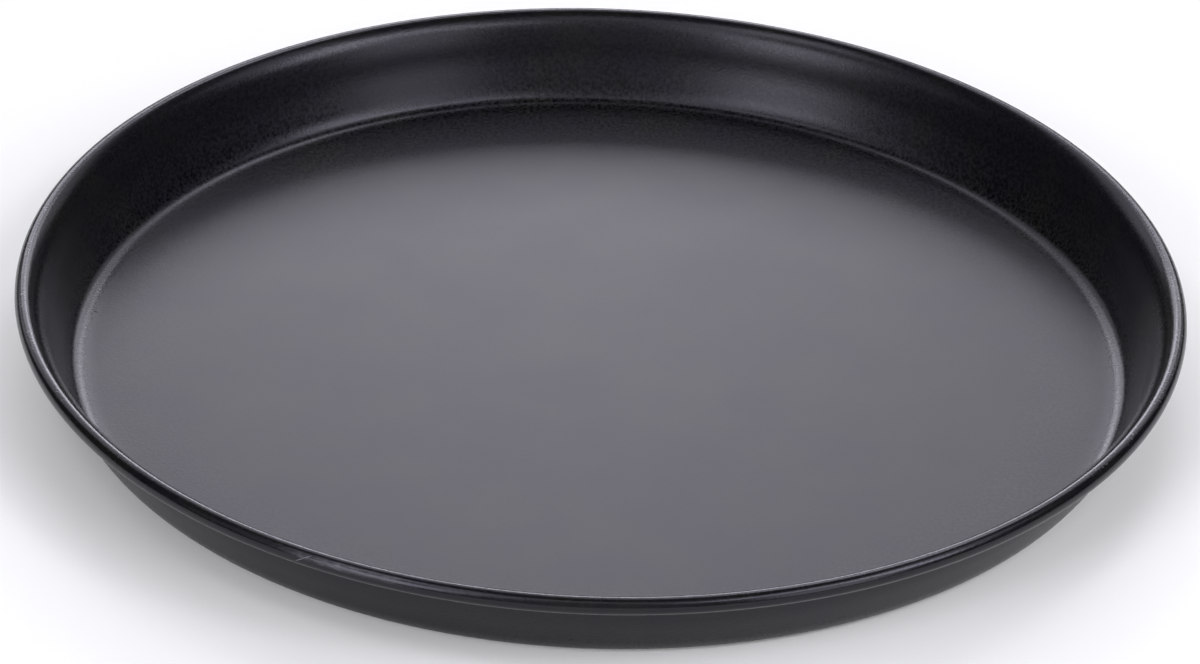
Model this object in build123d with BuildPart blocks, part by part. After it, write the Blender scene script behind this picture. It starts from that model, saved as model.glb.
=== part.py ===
# Round pizza pan, 320 mm across its wired rim and 25 mm high.
#
# The pan is one disc of sheet steel, pressed into a flat floor and a leaning
# wall. The wall leans out a little more near the floor, is steepest two thirds
# of the way up, and then flares outward. Its edge is curled over a steel wire,
# which stiffens the rim. The two pieces are the pan body and the rim wire.
#
# Origin: centre of the underside, where the pan stands. +Z is up.
# Lengths are in millimetres and angles in degrees.

import os
from math import acos, cos, degrees, radians, sin, tan

from build123d import *

# Overall size
rim_diameter = 320.0
height = 25.0

# Sheet and wire
sheet = 0.9
wire_diameter = 2.6
wire_play = 0.2
wire_end_gap = 1.2
curl_gap = 0.3

# Bends of the pressed body, from the rim down to the floor
flare_radius = 9.6
shoulder_radius = 38.0
belly_radius = 43.0
foot_radius = 15.0
corner_radius = 4.3
sweep_radius = 5.8

# Slope of the sheet where one bend passes into the next, from the rim down
lip_slope = 35.0
shoulder_slope = 66.0
steep_slope = 74.0
lean_slope = 66.0
foot_slope = 54.0
sweep_slope = 18.0


def on_arc(centre, radius, slope):
    """The point of an upward arc where it has this slope. A negative radius turns the arc over."""
    return centre + Vector(sin(radians(slope)), -cos(radians(slope))) * radius


# The curl: a round bead of sheet wrapped over the wire
bead_radius = wire_diameter / 2 + wire_play + sheet
bead = Vector(rim_diameter / 2 - bead_radius, height - bead_radius)

# Centres of the bends, each one tangent to the bend above it
flare = on_arc(bead, flare_radius - bead_radius, lip_slope)
shoulder = on_arc(flare, shoulder_radius - flare_radius, shoulder_slope)
belly = on_arc(shoulder, -shoulder_radius - belly_radius, steep_slope)

# Between the belly and the foot the wall is straight, and takes up what is left of the height
lean_top = on_arc(belly, belly_radius, lean_slope)
sweep_rise = sweep_radius * (1 - cos(radians(sweep_slope)))
corner_rise = corner_radius * (cos(radians(sweep_slope)) - cos(radians(foot_slope)))
foot_rise = foot_radius * (cos(radians(foot_slope)) - cos(radians(lean_slope)))
lean_rise = lean_top.Y - sheet - sweep_rise - corner_rise - foot_rise
lean_end = lean_top - Vector(lean_rise / tan(radians(lean_slope)), lean_rise)
foot = on_arc(lean_end, -foot_radius, lean_slope)
corner = on_arc(foot, foot_radius - corner_radius, foot_slope)
sweep = on_arc(corner, corner_radius - sweep_radius, sweep_slope)

# How far the curl turns before its cut edge comes up to the flare's underside
edge_reach = flare_radius - sheet - curl_gap
centre_gap = flare_radius - bead_radius
edge_cosine = (edge_reach**2 - centre_gap**2 - bead_radius**2) / (2 * centre_gap * bead_radius)
curl_turn = 360 - degrees(acos(edge_cosine))

# The wire ring, butted with a small gap
wire_gap_angle = degrees(wire_end_gap / bead.X)


def rising_arc(centre, radius, low_slope, high_slope):
    """An arc whose slope grows outward, with its centre above the sheet."""
    return CenterArc(centre, radius, low_slope - 90, high_slope - low_slope)


def falling_arc(centre, radius, high_slope, low_slope):
    """An arc whose slope falls outward, with its centre below the sheet."""
    return CenterArc(centre, radius, high_slope + 90, low_slope - high_slope)


def draw_face(depth):
    """Draw one face of the sheet, a given depth below the face that holds the dough."""
    floor_line = Line((0, sheet - depth), (sweep.X, sheet - depth))
    rising_arc(sweep, sweep_radius + depth, 0, sweep_slope)
    rising_arc(corner, corner_radius + depth, sweep_slope, foot_slope)
    foot_arc = rising_arc(foot, foot_radius + depth, foot_slope, lean_slope)
    belly_arc = rising_arc(belly, belly_radius + depth, lean_slope, steep_slope)
    Line(foot_arc @ 1, belly_arc @ 0)
    falling_arc(shoulder, shoulder_radius - depth, steep_slope, shoulder_slope)
    falling_arc(flare, flare_radius - depth, shoulder_slope, lip_slope)
    curl_arc = CenterArc(bead, bead_radius - depth, lip_slope + 90, -curl_turn)
    return floor_line @ 0, curl_arc @ 1


# Pan body: one sheet, turned about Z from its section
with BuildPart() as pan_body:
    with BuildSketch(Plane.YZ):
        with BuildLine():
            inner_centre, inner_edge = draw_face(0)
            outer_centre, outer_edge = draw_face(sheet)
            Line(inner_centre, outer_centre)
            Line(inner_edge, outer_edge)
        make_face()
    revolve(axis=Axis.Z)

# Rim wire: a ring of round wire loose inside the curl, its ends meeting at the back
with BuildPart() as rim_wire:
    with BuildSketch(Plane.YZ):
        with Locations(bead):
            Circle(wire_diameter / 2)
    revolve(axis=Axis.Z, revolution_arc=360 - wire_gap_angle)

os.makedirs("parts", exist_ok=True)

pan_body.part.label = "pan_body"
export_step(pan_body.part, "parts/pan_body.step")

rim_wire.part.label = "rim_wire"
export_step(rim_wire.part, "parts/rim_wire.step")

print("pan body", round(pan_body.part.volume), "mm3, rim wire", round(rim_wire.part.volume), "mm3")
print("flat base", round(2 * sweep.X, 1), "mm across, curl turns", round(curl_turn), "degrees")
print("straight stretch of the wall", round(lean_rise / sin(radians(lean_slope)), 1), "mm")
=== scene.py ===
# %% [markdown]
# A round pizza pan is one disc of sheet steel with one ring of wire in it. The
# maker presses the disc to a flat floor and a low leaning wall, flares the top of
# the wall outward and curls its edge over the wire, and then coats the whole pan
# in a dark satin finish. This lesson starts from the measured model of the pan,
# which says where everything is, and builds the surfaces that the eye sees.

# %% Load the measured pan
from math import acos, cos, pi, radians, sin, tan

import bmesh
import bpy
from mathutils import Matrix, Vector


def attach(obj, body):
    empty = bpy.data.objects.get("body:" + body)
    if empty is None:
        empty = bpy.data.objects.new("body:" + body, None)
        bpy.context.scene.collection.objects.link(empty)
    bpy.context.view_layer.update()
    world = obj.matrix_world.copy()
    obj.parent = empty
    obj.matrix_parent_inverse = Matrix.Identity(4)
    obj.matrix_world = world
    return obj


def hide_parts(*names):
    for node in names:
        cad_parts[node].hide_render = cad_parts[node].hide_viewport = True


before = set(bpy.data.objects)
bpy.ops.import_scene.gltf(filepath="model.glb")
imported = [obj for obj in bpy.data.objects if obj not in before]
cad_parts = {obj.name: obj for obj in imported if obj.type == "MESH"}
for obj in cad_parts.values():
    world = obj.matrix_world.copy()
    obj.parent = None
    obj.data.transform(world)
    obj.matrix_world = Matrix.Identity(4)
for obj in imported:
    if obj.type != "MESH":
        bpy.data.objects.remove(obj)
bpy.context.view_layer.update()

MM = 0.001
scene = bpy.context.scene

# %% [markdown]
# The camera comes first, because every later choice is judged through it. The
# photograph was taken with a long lens from well back, looking down at about 31
# degrees, and it is turned by two degrees, so that the pan hangs down a little to
# the right. A long lens keeps the far and the near rim almost equally wide.

# %% Camera at the photograph's angle
CAMERA_DISTANCE = 1.75
CAMERA_ELEVATION = radians(31.17)
CAMERA_ROLL = radians(2.037)
AIM_HEIGHT = 8.6 * MM
LENS_MM = 190.6
SENSOR_MM = 36.0

camera_data = bpy.data.cameras.new("camera")
camera_data.sensor_width = SENSOR_MM
camera_data.lens = LENS_MM
camera = bpy.data.objects.new("camera", camera_data)
bpy.context.collection.objects.link(camera)
scene.camera = camera

eye = Vector((0.0, -CAMERA_DISTANCE * cos(CAMERA_ELEVATION), CAMERA_DISTANCE * sin(CAMERA_ELEVATION)))
look = Vector((0.0, 0.0, AIM_HEIGHT)) - eye
turn = look.to_track_quat("-Z", "Y").to_matrix() @ Matrix.Rotation(CAMERA_ROLL, 3, "Z")
camera.matrix_world = Matrix.Translation(eye) @ turn.to_4x4()
print("camera at", eye, "lens", LENS_MM)

# %% [markdown]
# The pan body is drawn the way a spinner would think of it: as a section from
# the centre of the floor out to the curled edge. The wall of the real pan isn't
# straight. It leans out a little more near the floor, is steepest two thirds of
# the way up and then flares. So the section is a chain of round bends, and each
# bend's centre is found from the bend above it and the slope where they meet.

# %% Sizes of the section
RIM_RADIUS = 160.0 * MM
HEIGHT = 25.0 * MM
SHEET = 0.9 * MM
BEAD_RADIUS = 2.4 * MM
CURL_GAP = 0.3 * MM

FLARE_RADIUS = 9.6 * MM
SHOULDER_RADIUS = 38.0 * MM
BELLY_RADIUS = 43.0 * MM
FOOT_RADIUS = 15.0 * MM
CORNER_RADIUS = 4.3 * MM
SWEEP_RADIUS = 5.8 * MM

LIP_SLOPE = radians(35.0)
STEEP_SLOPE = radians(74.0)
LEAN_SLOPE = radians(66.0)
FOOT_SLOPE = radians(54.0)
SWEEP_SLOPE = radians(18.0)


def on_arc(centre, radius, slope):
    """The point of an upward arc where it has this slope. A negative radius turns the arc over."""
    return centre + radius * Vector((sin(slope), 0.0, -cos(slope)))


# %% Centres of the bends, from the bead down to the floor
bead = Vector((RIM_RADIUS - BEAD_RADIUS, 0.0, HEIGHT - BEAD_RADIUS))
flare = on_arc(bead, FLARE_RADIUS - BEAD_RADIUS, LIP_SLOPE)
shoulder = on_arc(flare, SHOULDER_RADIUS - FLARE_RADIUS, LEAN_SLOPE)
belly = on_arc(shoulder, -SHOULDER_RADIUS - BELLY_RADIUS, STEEP_SLOPE)
lean_top = on_arc(belly, BELLY_RADIUS, LEAN_SLOPE)

sweep_rise = SWEEP_RADIUS * (1 - cos(SWEEP_SLOPE))
corner_rise = CORNER_RADIUS * (cos(SWEEP_SLOPE) - cos(FOOT_SLOPE))
foot_rise = FOOT_RADIUS * (cos(FOOT_SLOPE) - cos(LEAN_SLOPE))
lean_rise = lean_top.z - SHEET - sweep_rise - corner_rise - foot_rise
lean_end = lean_top - Vector((lean_rise / tan(LEAN_SLOPE), 0.0, lean_rise))
foot = on_arc(lean_end, -FOOT_RADIUS, LEAN_SLOPE)
corner = on_arc(foot, FOOT_RADIUS - CORNER_RADIUS, FOOT_SLOPE)
sweep = on_arc(corner, CORNER_RADIUS - SWEEP_RADIUS, SWEEP_SLOPE)
print("flat floor ends at", round(sweep.x / MM, 2), "mm")
print("wall is straight for", round(lean_rise / MM, 2), "mm of height")

# %% How far the curl turns before its cut edge comes up to the flare
edge_reach = FLARE_RADIUS - SHEET - CURL_GAP
centre_gap = FLARE_RADIUS - BEAD_RADIUS
edge_cosine = (edge_reach ** 2 - centre_gap ** 2 - BEAD_RADIUS ** 2) / (2 * centre_gap * BEAD_RADIUS)
curl_turn = 2 * pi - acos(edge_cosine)
print("curl turns", round(curl_turn / radians(1.0), 1), "degrees")


# %% [markdown]
# Two small strokes draw the whole section. A straight stretch comes from
# extruding a vertex, and a bend comes from spinning that vertex about the bend's
# centre, so every arc is a true one and meets its neighbours smoothly.

# %% Two strokes that draw the section
def straight(bm, tip, r, z):
    """Draw a straight stretch from the tip to a radius and a height."""
    end = bmesh.ops.extrude_vert_indiv(bm, verts=[tip])["verts"][0]
    end.co = (r, 0.0, z)
    return end


def bend(bm, tip, centre, angle, steps):
    """Draw an arc from the tip about a centre in the plane of the section."""
    arc = bmesh.ops.spin(
        bm, geom=[tip], cent=centre, axis=(0.0, 1.0, 0.0), dvec=(0.0, 0.0, 0.0),
        angle=angle, steps=steps, use_merge=False, use_normal_flip=False, use_duplicate=False,
    )
    return arc["geom_last"][0]


# %% Draw the section
FLOOR_RINGS = 24

bm = bmesh.new()
tip = bm.verts.new((0.0, 0.0, SHEET))
for ring in range(1, FLOOR_RINGS + 1):
    tip = straight(bm, tip, sweep.x * ring / FLOOR_RINGS, SHEET)
tip = bend(bm, tip, sweep, -SWEEP_SLOPE, 5)
tip = bend(bm, tip, corner, SWEEP_SLOPE - FOOT_SLOPE, 8)
tip = bend(bm, tip, foot, FOOT_SLOPE - LEAN_SLOPE, 4)
tip = straight(bm, tip, lean_top.x, lean_top.z)
tip = bend(bm, tip, belly, LEAN_SLOPE - STEEP_SLOPE, 6)
tip = bend(bm, tip, shoulder, STEEP_SLOPE - LEAN_SLOPE, 6)
tip = bend(bm, tip, flare, LEAN_SLOPE - LIP_SLOPE, 9)
tip = bend(bm, tip, bead, curl_turn, 40)
print("section points", len(bm.verts), "tip at", tip.co)

# %% [markdown]
# On the real pan the section is pressed over a round tool, so here it is turned
# about the pan's axis. The turn meets itself, the doubles on the axis are merged
# and the faces are pointed up, and only then does the sheet get its thickness,
# away from the side that holds the dough.

# %% Turn the section about the axis
AROUND = 288

bmesh.ops.spin(
    bm, geom=bm.verts[:] + bm.edges[:], cent=(0.0, 0.0, 0.0), axis=(0.0, 0.0, 1.0),
    dvec=(0.0, 0.0, 0.0), angle=2 * pi, steps=AROUND,
    use_merge=True, use_normal_flip=False, use_duplicate=False,
)
bmesh.ops.remove_doubles(bm, verts=bm.verts[:], dist=0.001 * MM)
bmesh.ops.recalc_face_normals(bm, faces=bm.faces[:])
middle = min(bm.faces, key=lambda face: face.calc_center_median().length)
if middle.normal.z < 0:
    bmesh.ops.reverse_faces(bm, faces=bm.faces[:])
print("faces of the inner skin", len(bm.faces))

# %% Give the sheet its thickness
bmesh.ops.solidify(bm, geom=bm.faces[:], thickness=SHEET)
for face in bm.faces:
    face.smooth = True
print("volume", round(bm.calc_volume(signed=True) / MM ** 3), "mm3")

# %% Put the pan into the scene
pan_mesh = bpy.data.meshes.new("pan_body_skin")
bm.to_mesh(pan_mesh)
bm.free()
pan = bpy.data.objects.new("pan_body_skin", pan_mesh)
bpy.context.collection.objects.link(pan)
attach(pan, "root")
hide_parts("pan_body")
print("pan", len(pan_mesh.polygons), "faces, top", max(v.co.z for v in pan_mesh.vertices) / MM, "mm")


# %% [markdown]
# Finishes are made of nodes. A few short helpers keep the recipes readable: one
# adds a node and feeds its sockets, one slides smoothly between two values, one
# makes a soft cloud of noise of a given size, and one does a single sum. Three
# more pick out a place, scatter dots and mix two colours.

# %% Helpers for the finishes
def put(tree, kind, sockets, **settings):
    """Add a node, and give each socket its value or the link that feeds it."""
    node = tree.nodes.new("ShaderNode" + kind)
    for name, value in settings.items():
        setattr(node, name, value)
    for key, value in sockets.items():
        if isinstance(value, bpy.types.NodeSocket):
            tree.links.new(value, node.inputs[key])
        else:
            node.inputs[key].default_value = value
    return node


def slide(tree, value, start, end, first, last):
    """Go smoothly from the first value to the last while the input goes from start to end."""
    sockets = {"Value": value, "From Min": start, "From Max": end, "To Min": first, "To Max": last}
    return put(tree, "MapRange", sockets, interpolation_type="SMOOTHSTEP").outputs["Result"]


def cloud(tree, place, size, detail, seed):
    """Noise about 0.5 whose patches are about as wide as the size."""
    moved = put(tree, "VectorMath", {0: place, 1: (seed, seed, seed)}, operation="ADD")
    sockets = {"Vector": moved.outputs["Vector"], "Scale": 1.0 / size, "Detail": detail}
    return put(tree, "TexNoise", sockets).outputs["Fac"]


def maths(tree, operation, *values):
    """One sum of numbers or links."""
    return put(tree, "Math", dict(enumerate(values)), operation=operation).outputs["Value"]


# %% More helpers for the finishes
def near(tree, value, centre, inner, outer):
    """One where the value is close to the centre, sliding to zero farther off."""
    apart = maths(tree, "ABSOLUTE", maths(tree, "SUBTRACT", value, centre))
    return slide(tree, apart, inner, outer, 1.0, 0.0)


def dots(tree, place, spacing, radius, share):
    """Small round dots, about one in each cell of the spacing, and only in a share of the cells."""
    cells = put(tree, "TexVoronoi", {"Vector": place, "Scale": 1.0 / spacing}).outputs
    dot = slide(tree, cells["Distance"], 0.6 * radius / spacing, 1.4 * radius / spacing, 1.0, 0.0)
    pick = put(tree, "SeparateXYZ", {"Vector": cells["Color"]}).outputs["X"]
    return maths(tree, "MULTIPLY", dot, maths(tree, "LESS_THAN", pick, share))


def blend(tree, share, first, last):
    """Mix two colours."""
    return put(tree, "Mix", {0: share, 6: first, 7: last}, data_type="RGBA").outputs[2]


# %% [markdown]
# The coating is sprayed on and baked. It is nearly black, with a breath of
# violet, and nearly all that the eye sees of it is its satin reflection of the
# lamps. It lies roughest on the flat floor, smoother on the wall and smoothest on
# the tight bead. So the gloss is worked out from how far a point lies from the
# axis and how high, in Object coordinates, which stay with the pan.

# %% Where a point of the coating lies
coating = bpy.data.materials.new("satin_coating")
coating.use_nodes = True
tree = coating.node_tree
shader = tree.nodes["Principled BSDF"]
place = put(tree, "TexCoord", {}).outputs["Object"]
axes = put(tree, "SeparateXYZ", {"Vector": place}).outputs
level = put(tree, "VectorMath", {0: place, 1: (1.0, 1.0, 0.0)}, operation="MULTIPLY")
reach = put(tree, "VectorMath", {0: level.outputs["Vector"]}, operation="LENGTH").outputs["Value"]
print("pan material", coating.name)

# %% Gloss of each zone, from the floor out to the bead
FLOOR_ROUGHNESS = 0.385
CORNER_ROUGHNESS = 0.29
WALL_ROUGHNESS = 0.32
FLARE_ROUGHNESS = 0.29
BEAD_ROUGHNESS = 0.21

# How far out or how high up one zone slides into the next
FLOOR_TO_CORNER = (138.0 * MM, 141.5 * MM)
CORNER_TO_WALL = (4.0 * MM, 8.0 * MM)
WALL_TO_FLARE = (16.5 * MM, 20.0 * MM)
FLARE_TO_BEAD = (153.0 * MM, 156.0 * MM)

to_corner = slide(tree, reach, *FLOOR_TO_CORNER, FLOOR_ROUGHNESS, CORNER_ROUGHNESS)
to_wall = slide(tree, axes["Z"], *CORNER_TO_WALL, 0.0, WALL_ROUGHNESS - CORNER_ROUGHNESS)
to_flare = slide(tree, axes["Z"], *WALL_TO_FLARE, 0.0, FLARE_ROUGHNESS - WALL_ROUGHNESS)
to_bead = slide(tree, reach, *FLARE_TO_BEAD, 0.0, BEAD_ROUGHNESS - FLARE_ROUGHNESS)
gloss = maths(tree, "ADD", maths(tree, "ADD", to_corner, to_wall), maths(tree, "ADD", to_flare, to_bead))
print("roughness of the floor", FLOOR_ROUGHNESS, "and of the bead", BEAD_ROUGHNESS)

# %% [markdown]
# A baked coating is never even. On the flat floor it shows large, faint clouds,
# some greyer and some more violet. Toward the floor's edge and on the wall the
# spray lies thinner, so the grain of the blasted steel comes through as a fine
# speckle, together with a soft orange peel. The grain and the peel are relief, so
# they are made with a bump. The clouds and the speckle change gloss and tone.

# %% Clouds, grain and orange peel
WIDE_CLOUD = 55.0 * MM
SMALL_CLOUD = 17.0 * MM
SPECKLE = 1.0 * MM
GRAIN = 0.8 * MM
PEEL = 3.2 * MM
CLOUD_GLOSS = 0.05
SPECKLE_GLOSS = 0.2
GRAIN_HEIGHT_MM = 0.036
PEEL_HEIGHT_MM = 0.016
SMOOTH_TO_GRAINY = (119.0 * MM, 131.0 * MM)
GRAIN_OF_MIDDLE = 0.1

border = slide(tree, reach, *SMOOTH_TO_GRAINY, GRAIN_OF_MIDDLE, 1.0)
wide_clouds = cloud(tree, place, WIDE_CLOUD, 2.0, 0.3)
small_clouds = cloud(tree, place, SMALL_CLOUD, 3.0, 0.7)
clouds = maths(tree, "MULTIPLY", maths(tree, "ADD", wide_clouds, small_clouds), 0.5)
speckle = cloud(tree, place, SPECKLE, 4.0, 0.9)
grain = cloud(tree, place, GRAIN, 3.0, 1.3)
peel = cloud(tree, place, PEEL, 1.0, 1.7)

cloudy = maths(tree, "MULTIPLY", maths(tree, "SUBTRACT", clouds, 0.5), CLOUD_GLOSS)
gloss = maths(tree, "ADD", gloss, cloudy)
speckled = maths(tree, "MULTIPLY", maths(tree, "SUBTRACT", speckle, 0.5), SPECKLE_GLOSS)
gloss = maths(tree, "MULTIPLY_ADD", speckled, border, gloss)
relief = maths(tree, "MULTIPLY", grain, GRAIN_HEIGHT_MM)
relief = maths(tree, "MULTIPLY_ADD", peel, PEEL_HEIGHT_MM, relief)
relief = maths(tree, "MULTIPLY", relief, border)
print("grain", GRAIN_HEIGHT_MM, "mm and peel", PEEL_HEIGHT_MM, "mm high")

# %% Tone of the coating
GREY_TONE = (0.0078, 0.0076, 0.0068, 1.0)
VIOLET_TONE = (0.0054, 0.0055, 0.0076, 1.0)
FLOOR_EDGE = 134.0 * MM
SPECKLE_AT_EDGE = 0.75
SPECKLE_ELSEWHERE = 0.15

tone = blend(tree, slide(tree, clouds, 0.40, 0.60, 0.0, 1.0), GREY_TONE, VIOLET_TONE)
at_edge = near(tree, reach, FLOOR_EDGE, 7.0 * MM, 22.0 * MM)
specks = slide(tree, speckle, 0.36, 0.64, -1.0, 1.0)
share = maths(tree, "MULTIPLY_ADD", at_edge, SPECKLE_AT_EDGE, SPECKLE_ELSEWHERE)
lighter = maths(tree, "MULTIPLY_ADD", specks, share, 1.0)
tone = put(tree, "VectorMath", {0: tone, "Scale": lighter}, operation="SCALE").outputs["Vector"]
print("tones", GREY_TONE[:3], VIOLET_TONE[:3])

# %% [markdown]
# The real pan carries the marks of its making and of its handling. Pin pits sit
# in the spray near the floor's edge, one dark chip lies beside the left corner,
# and single grains of dust have been baked in. The same dots darken the spray
# and sink it, so each pit is a small dent.

# %% Pits, the chip and dust
PIT_SPACING = 1.7 * MM
PIT_RADIUS = 0.17 * MM
PIT_SHARE = 0.45
PIT_DEPTH_MM = 0.02
PIT_TONE = (0.002, 0.002, 0.002, 1.0)
PIT_GLOSS = 0.35
CHIP_PLACE = (-139.8 * MM, 14.0 * MM, SHEET)
CHIP_RADIUS = 0.4 * MM
CHIP_RAGGED = 1.2 * MM
DUST_SPACING = 15.0 * MM
DUST_RADIUS = 0.16 * MM
DUST_SHARE = 0.7
DUST_TONE = (0.11, 0.11, 0.12, 1.0)

pit_patches = slide(tree, small_clouds, 0.42, 0.56, 0.0, 1.0)
pit_zone = maths(tree, "MULTIPLY", near(tree, reach, FLOOR_EDGE, 4.0 * MM, 8.0 * MM), pit_patches)
pits = maths(tree, "MULTIPLY", dots(tree, place, PIT_SPACING, PIT_RADIUS, PIT_SHARE), pit_zone)
chip_far = put(tree, "VectorMath", {0: place, 1: CHIP_PLACE}, operation="DISTANCE").outputs["Value"]
chip_edge = maths(tree, "MULTIPLY_ADD", maths(tree, "SUBTRACT", grain, 0.5), CHIP_RAGGED, chip_far)
chip = slide(tree, chip_edge, 0.7 * CHIP_RADIUS, 1.1 * CHIP_RADIUS, 1.0, 0.0)
dark = maths(tree, "MAXIMUM", pits, chip)
gloss = maths(tree, "MULTIPLY_ADD", dark, PIT_GLOSS, gloss)
relief = maths(tree, "MULTIPLY_ADD", dark, -PIT_DEPTH_MM, relief)
tone = blend(tree, dark, tone, PIT_TONE)
dust = maths(tree, "MULTIPLY", dots(tree, place, DUST_SPACING, DUST_RADIUS, DUST_SHARE), border)
tone = blend(tree, dust, tone, DUST_TONE)
print("pits every", PIT_SPACING / MM, "mm")

# %% [markdown]
# The rim is what hands and shelves rub against. It has light flecks along its
# crest, a long scuff on the bead at the front left, streaked along the rim, and
# one scratch across the bead beside it. The pale flecks and the pale scuff are
# partly wear and partly painted light: glints on the crest at the sides and a
# highlight on the front of the bead. Two lengths say where a point of the bead
# lies: the way round the rim, and the way over the bead from its top outward.

# %% The way round the rim and over the bead
BEAD_BEGINS = (155.2 * MM, 156.0 * MM)

azimuth = maths(tree, "ARCTAN2", axes["Y"], axes["X"])
outward = maths(tree, "SUBTRACT", reach, bead.x)
upward = maths(tree, "SUBTRACT", axes["Z"], bead.z)
tilt = maths(tree, "ARCTAN2", outward, upward)
way_round = maths(tree, "MULTIPLY", azimuth, RIM_RADIUS)
way_over = maths(tree, "MULTIPLY", tilt, BEAD_RADIUS)
on_bead = slide(tree, reach, *BEAD_BEGINS, 0.0, 1.0)
print("bead centre", bead.x / MM, bead.z / MM)

# %% Flecks on the crest, partly wear and partly painted glints
WEAR_AND_GLINT_FLECK_TONE = (0.11, 0.11, 0.12, 1.0)
FLECK_SIZE = 0.8 * MM
FLECK_PATCH = 13.0 * MM
FLECK_TILT = 0.15
FRONT_TO_SIDES = (110.0 * MM, 150.0 * MM)
CREST_BEGINS = (154.5 * MM, 155.5 * MM)

# Pale flecks on the crest at the sides: partly wear, partly painted glints in the crest's highlight.
fleck_grain = slide(tree, cloud(tree, place, FLECK_SIZE, 2.0, 2.1), 0.56, 0.68, 0.0, 1.0)
fleck_area = slide(tree, cloud(tree, place, FLECK_PATCH, 2.0, 2.6), 0.46, 0.60, 0.0, 1.0)
at_sides = slide(tree, maths(tree, "ABSOLUTE", axes["X"]), *FRONT_TO_SIDES, 0.1, 1.0)
on_crest = slide(tree, reach, *CREST_BEGINS, 0.0, 1.0)
wear_and_glint_flecks = maths(tree, "MULTIPLY", fleck_grain, fleck_area)
wear_and_glint_flecks = maths(tree, "MULTIPLY", wear_and_glint_flecks, near(tree, tilt, FLECK_TILT, 0.25, 0.6))
wear_and_glint_flecks = maths(tree, "MULTIPLY", wear_and_glint_flecks, maths(tree, "MULTIPLY", at_sides, on_crest))
tone = blend(tree, wear_and_glint_flecks, tone, WEAR_AND_GLINT_FLECK_TONE)
print("wear_and_glint_flecks", WEAR_AND_GLINT_FLECK_TONE[:3])

# %% The scuff with its painted highlight, and the scratch
SCUFF_AND_HIGHLIGHT_AT = radians(-113.0)
SCUFF_AND_HIGHLIGHT_TILT = 0.95
SCUFF_AND_HIGHLIGHT_SHARE = 0.55
# The pale tone of the scuff is partly wear and partly a painted highlight on the front of the bead; the
# scratch is wear.
WORN_AND_HIGHLIGHT_TONE = (0.17, 0.17, 0.185, 1.0)
WORN_AND_HIGHLIGHT_GLOSS = 0.12
STREAK_WIDTH = 0.35 * MM
STREAK_SQUEEZE = 0.09
BLOTCH = 2.5 * MM
SCRATCH_AT = radians(-117.4)
SCRATCH_TILT = 1.24
SCRATCH_SLANT = radians(32.0)
SCRATCH_WIDTH = 0.11 * MM
SCRATCH_HALF = 3.2 * MM

squeezed = maths(tree, "MULTIPLY", way_round, STREAK_SQUEEZE)
stretched = put(tree, "CombineXYZ", {0: squeezed, 1: way_over}).outputs["Vector"]
streaks = slide(tree, cloud(tree, stretched, STREAK_WIDTH, 3.0, 3.1), 0.36, 0.64, 0.3, 1.0)
blotches = slide(tree, cloud(tree, place, BLOTCH, 3.0, 3.4), 0.38, 0.62, 0.55, 1.0)
scuff_and_highlight = near(tree, azimuth, SCUFF_AND_HIGHLIGHT_AT, radians(1.5), radians(8.0))
scuff_and_highlight = maths(tree, "MULTIPLY", scuff_and_highlight, near(tree, tilt, SCUFF_AND_HIGHLIGHT_TILT, 0.2, 0.6))
scuff_and_highlight = maths(tree, "MULTIPLY", maths(tree, "MULTIPLY", scuff_and_highlight, streaks), blotches)
scuff_and_highlight = maths(tree, "MULTIPLY", scuff_and_highlight, maths(tree, "MULTIPLY", on_bead, SCUFF_AND_HIGHLIGHT_SHARE))

along = maths(tree, "SUBTRACT", way_round, SCRATCH_AT * RIM_RADIUS)
across = maths(tree, "SUBTRACT", way_over, SCRATCH_TILT * BEAD_RADIUS)
side_on = maths(tree, "MULTIPLY", across, cos(SCRATCH_SLANT))
side_on = maths(tree, "MULTIPLY_ADD", along, sin(SCRATCH_SLANT), side_on)
end_on = maths(tree, "MULTIPLY", across, -sin(SCRATCH_SLANT))
end_on = maths(tree, "MULTIPLY_ADD", along, cos(SCRATCH_SLANT), end_on)
thin = near(tree, side_on, 0.0, 0.4 * SCRATCH_WIDTH, 1.3 * SCRATCH_WIDTH)
short = near(tree, end_on, 0.0, 0.5 * SCRATCH_HALF, SCRATCH_HALF)
scratch = maths(tree, "MULTIPLY", maths(tree, "MULTIPLY", thin, short), on_bead)
# The scuff with its painted highlight and the real scratch share one pale tone.
worn_and_highlight = maths(tree, "MAXIMUM", scuff_and_highlight, scratch)
tone = blend(tree, worn_and_highlight, tone, WORN_AND_HIGHLIGHT_TONE)
gloss = maths(tree, "MULTIPLY_ADD", worn_and_highlight, WORN_AND_HIGHLIGHT_GLOSS, gloss)
print("scuff at", SCUFF_AND_HIGHLIGHT_AT / radians(1.0), "degrees, scratch at", SCRATCH_AT / radians(1.0))

# %% Feed the shader of the coating
COATING_IOR = 1.40
COATING_TINT = (0.91, 0.90, 1.0, 1.0)

bump = put(tree, "Bump", {"Height": relief, "Distance": MM, "Strength": 1.0})
tree.links.new(bump.outputs["Normal"], shader.inputs["Normal"])
tree.links.new(gloss, shader.inputs["Roughness"])
tree.links.new(tone, shader.inputs["Base Color"])
shader.inputs["IOR"].default_value = COATING_IOR
shader.inputs["Specular Tint"].default_value = COATING_TINT
pan_mesh.materials.append(coating)
print("nodes of the coating", len(tree.nodes))

# %% [markdown]
# The rim wire is plain drawn steel. Only a sliver of it shows, through the slit
# where the curl closes under the flare, so it keeps the mesh of the measured
# model and gets a bare steel finish with the faint lines of the drawing die.

# %% Steel of the rim wire
STEEL_TONE = (0.42, 0.41, 0.40, 1.0)
STEEL_ROUGHNESS = (0.28, 0.45)
DIE_LINES = 0.4 * MM

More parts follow.
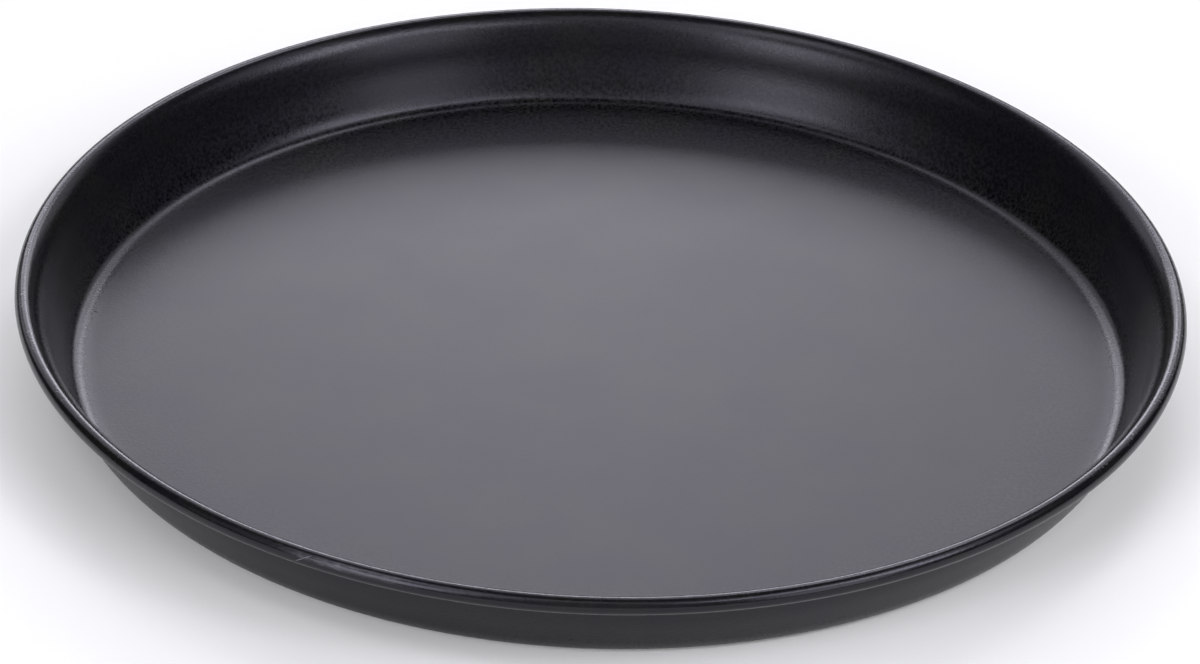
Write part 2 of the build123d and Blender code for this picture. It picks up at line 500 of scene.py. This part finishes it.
steel = bpy.data.materials.new("drawn_steel")
steel.use_nodes = True
tree = steel.node_tree
shader = tree.nodes["Principled BSDF"]
place = put(tree, "TexCoord", {}).outputs["Object"]
lines = cloud(tree, place, DIE_LINES, 3.0, 0.2)
tree.links.new(slide(tree, lines, 0.3, 0.7, *STEEL_ROUGHNESS), shader.inputs["Roughness"])
shader.inputs["Base Color"].default_value = STEEL_TONE
shader.inputs["Metallic"].default_value = 1.0
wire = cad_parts["rim_wire"]
wire.material_slots[0].material = steel
print("wire slots", [slot.name for slot in wire.material_slots])

# %% [markdown]
# The pan stands on a wide sheet of pale paper. Paper alone would come out pale
# grey, so for the camera, and for what the pan mirrors, it glows a little too,
# just enough to reach white in the open. The soft shadow of the pan stays.

# %% Paper floor
FLOOR_HALF = 12.0
PAPER = (0.85, 0.86, 0.82, 1.0)
PAPER_GLOW = 0.12

bm = bmesh.new()
bmesh.ops.create_grid(bm, x_segments=1, y_segments=1, size=FLOOR_HALF)
floor_mesh = bpy.data.meshes.new("paper_floor")
bm.to_mesh(floor_mesh)
bm.free()
floor = bpy.data.objects.new("paper_floor", floor_mesh)
bpy.context.collection.objects.link(floor)

paper = bpy.data.materials.new("paper")
paper.use_nodes = True
tree = paper.node_tree
tree.nodes.remove(tree.nodes["Principled BSDF"])
rays = put(tree, "LightPath", {}).outputs
seen = maths(tree, "MAXIMUM", rays["Is Camera Ray"], rays["Is Glossy Ray"])
seen = maths(tree, "MAXIMUM", seen, rays["Is Transmission Ray"])
glow = put(tree, "Emission", {"Strength": maths(tree, "MULTIPLY", seen, PAPER_GLOW)})
matt = put(tree, "BsdfDiffuse", {"Color": PAPER})
both = put(tree, "AddShader", {0: matt.outputs["BSDF"], 1: glow.outputs["Emission"]})
tree.links.new(both.outputs["Shader"], tree.nodes["Material Output"].inputs["Surface"])
floor_mesh.materials.append(paper)
print("floor", 2 * FLOOR_HALF, "m wide")

# %% [markdown]
# A dark satin surface shows the lamps more than itself, so the lamps are the
# other half of the finish. A row of soft boxes behind the pan gives the even grey
# of the floor, brightest in the middle. Boxes in front, at the left and at the
# right, give the bright corner round the floor and the lines along the near bead.
# Weak boxes between them fill the wall a little. The rest of the room is dark, so
# the wall looks black. The boxes were placed one by one, led by a trial with many
# small lamps. Their brightness comes from a least squares fit to the levels of
# the photograph, rounded and raised a little.

# %% Soft boxes
LAMP_DISTANCE = 2.0
LAMP_COLOUR = (1.0, 0.985, 1.08)
SOFT_BOXES = {
    # name: azimuth, elevation, angle it fills across and upward, brightness
    "back_core": (91.0, 24.0, 14.0, 16.0, 6.6),
    "back_core_left": (108.0, 24.0, 18.0, 16.0, 3.5),
    "back_core_right": (73.0, 24.0, 18.0, 16.0, 3.2),
    "back_glow": (90.0, 37.0, 60.0, 22.0, 1.0),
    "back_top_right": (72.0, 52.0, 26.0, 13.0, 5.2),
    "back_top_left": (105.0, 51.0, 24.0, 12.0, 2.5),
    "back_top": (90.0, 64.0, 90.0, 12.0, 0.8),
    "back_wing_right": (54.0, 32.0, 20.0, 36.0, 0.82),
    "back_wing_left": (131.0, 32.0, 20.0, 36.0, 1.17),
    "left_box": (232.0, 26.0, 26.0, 28.0, 4.9),
    "left_front": (245.0, 48.0, 18.0, 14.0, 2.8),
    "left_top": (216.0, 62.0, 44.0, 14.0, 3.1),
    "left_side": (203.0, 36.0, 28.0, 40.0, 0.42),
    "right_low": (313.0, 22.0, 24.0, 26.0, 2.55),
    "right_front": (304.0, 48.0, 26.0, 12.0, 4.8),
    "right_edge": (321.0, 46.0, 12.0, 12.0, 3.8),
    "right_high": (322.0, 57.0, 18.0, 9.0, 2.6),
    "right_box": (336.0, 40.0, 20.0, 24.0, 6.6),
    "right_side": (0.0, 48.0, 24.0, 24.0, 1.2),
    "front_fill": (270.0, 28.0, 40.0, 50.0, 0.3),
    "front_top": (270.0, 64.0, 50.0, 14.0, 1.25),
}


def soft_box(name, azimuth, elevation, across, upward, brightness):
    """Hang one soft box round the pan, facing it. The two angles are how large the pan sees it."""
    lamp = bpy.data.lights.new(name, "AREA")
    lamp.shape = "RECTANGLE"
    lamp.size = 2 * LAMP_DISTANCE * tan(radians(across / 2)) * cos(radians(elevation))
    lamp.size_y = 2 * LAMP_DISTANCE * tan(radians(upward / 2))
    lamp.color = LAMP_COLOUR
    lamp.energy = brightness * pi * lamp.size * lamp.size_y
    box = bpy.data.objects.new(name, lamp)
    bpy.context.collection.objects.link(box)
    swing = Matrix.Rotation(radians(azimuth), 4, "Z") @ Matrix.Rotation(radians(-elevation), 4, "Y")
    stand = swing @ Vector((LAMP_DISTANCE, 0.0, 0.0))
    box.matrix_world = Matrix.Translation(stand) @ stand.to_track_quat("Z", "Y").to_matrix().to_4x4()
    box.visible_camera = False


for name, settings in SOFT_BOXES.items():
    soft_box(name, *settings)
print("soft boxes", len(SOFT_BOXES))

# %% [markdown]
# Past the edge of the paper the room is white to the camera. Mirrored in the pan,
# only a low band of it is white, because higher up the real room was dark.

# %% Room
ROOM_LIGHT = 0.01
BAND_TOP = 0.02

world = bpy.data.worlds.new("studio")
scene.world = world
world.use_nodes = True
tree = world.node_tree
rays = put(tree, "LightPath", {}).outputs
mirrored = maths(tree, "MAXIMUM", rays["Is Glossy Ray"], rays["Is Transmission Ray"])
ways = put(tree, "SeparateXYZ", {"Vector": put(tree, "TexCoord", {}).outputs["Generated"]}).outputs
band = maths(tree, "LESS_THAN", ways["Z"], BAND_TOP)
seen = maths(tree, "MAXIMUM", rays["Is Camera Ray"], maths(tree, "MULTIPLY", mirrored, band))
strength = slide(tree, seen, 0.0, 1.0, ROOM_LIGHT, 1.0)
tree.links.new(strength, tree.nodes["Background"].inputs["Strength"])
tree.nodes["Background"].inputs["Color"].default_value = (1.0, 1.0, 1.0, 1.0)
scene.view_settings.view_transform = "Standard"
print("room light", ROOM_LIGHT)
